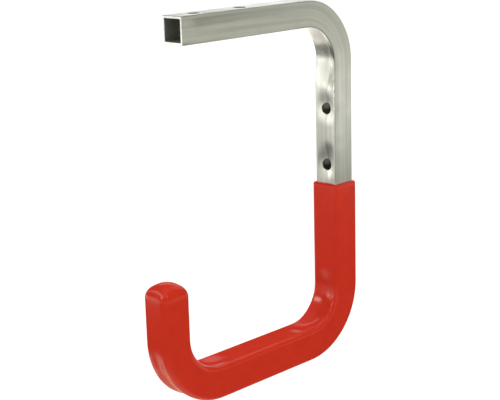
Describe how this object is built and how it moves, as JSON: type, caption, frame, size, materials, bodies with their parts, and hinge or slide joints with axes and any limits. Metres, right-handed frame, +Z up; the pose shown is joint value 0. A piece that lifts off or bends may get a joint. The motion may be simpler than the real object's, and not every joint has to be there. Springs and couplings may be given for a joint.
{
  "type": "wall hook",
  "caption": "Large hook bent from square metal tube, with a screwed leg and arm for wall or ceiling and a thick plastic dip coat on its cradle.",
  "frame": {"origin": "on the leg's wall face, halfway between its two screw holes", "axes": "+Y into the wall, so the arms stand out along -Y; +Z up along the leg; X across the tube"},
  "size_m": [0.0256, 0.2076, 0.2848],
  "materials": {
    "tube": "mill finish, satin",
    "coat": "glossy, dipped"
  },
  "bodies": {
    "root": {"bent_tube": "tube", "plastic_coat": "coat"}
  },
  "joints": []
}
